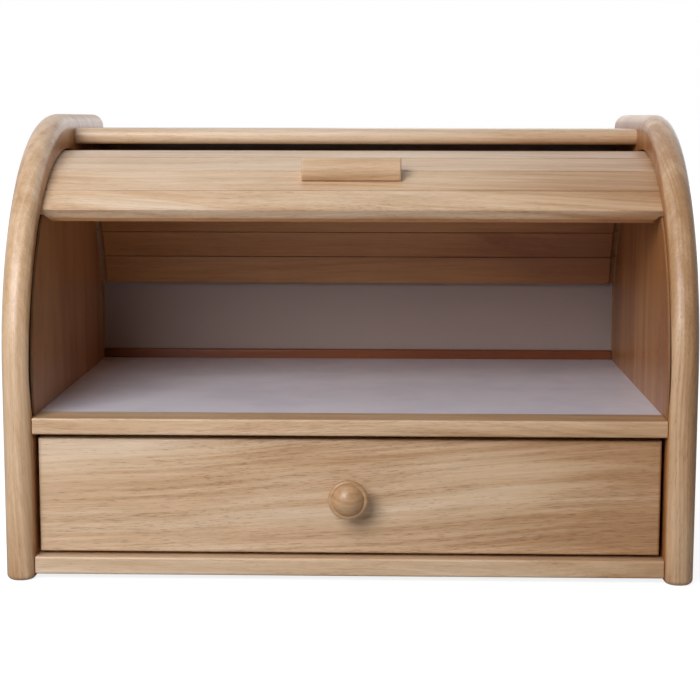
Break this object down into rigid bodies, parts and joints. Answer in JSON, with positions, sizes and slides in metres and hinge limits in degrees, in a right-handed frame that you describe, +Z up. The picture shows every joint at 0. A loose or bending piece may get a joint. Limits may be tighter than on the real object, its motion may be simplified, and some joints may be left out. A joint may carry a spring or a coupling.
{
  "type": "bread box with drawer",
  "caption": "Wooden counter-top bread box: a slatted roll-top door over an open compartment, with a shallow pull-out drawer below.",
  "frame": {"origin": "on the ground, under the middle of the whole box, drawer shut", "axes": "+Z up, the open front faces -Y, +X to the right seen from the front"},
  "size_m": [0.4, 0.274, 0.27],
  "materials": {
    "wood": "pale honey hardwood, satin clear lacquer",
    "slat_wood": "straight-grained pale hardwood, satin clear lacquer",
    "knob_wood": "turned hardwood, satin clear lacquer",
    "dowel_wood": "plain hardwood dowel",
    "white_board": "thin board with a smooth white face",
    "cord": "thin braided cord",
    "steel": "zinc plated screw"
  },
  "bodies": {
    "case": {"left_side_panel": "wood", "right_side_panel": "wood", "top_board": "wood", "back_panel": "white_board", "shelf_board": "white_board", "shelf_lipping": "wood", "shelf_back_strip": "wood", "bottom_front_rail": "wood", "bottom_back_rail": "wood", "base_board": "white_board", "case_dowels": "dowel_wood"},
    "roll_door": {"lead_rail": "slat_wood", "slat_01": "slat_wood", "slat_02": "slat_wood", "slat_03": "slat_wood", "slat_04": "slat_wood", "slat_05": "slat_wood", "slat_06": "slat_wood", "slat_07": "slat_wood", "slat_08": "slat_wood", "slat_09": "slat_wood", "slat_10": "slat_wood", "slat_11": "slat_wood", "slat_link_cords": "cord", "door_handle": "slat_wood", "handle_screws": "steel"},
    "drawer": {"drawer_front": "wood", "drawer_left_side": "wood", "drawer_right_side": "wood", "drawer_back": "wood", "drawer_bottom": "white_board", "drawer_dowels": "dowel_wood", "drawer_knob": "knob_wood", "knob_screw": "steel"}
  },
  "joints": [
    {"name": "door_roll", "type": "hinge", "parent": "case", "child": "roll_door", "pos_m": [0, 0.0028, 0.121], "axis": [-1, 0, 0], "range_deg": [-58.3, 20]},
    {"name": "drawer_slide", "type": "slide", "parent": "case", "child": "drawer", "axis": [0, -1, 0], "range_m": [0, 0.18]}
  ]
}
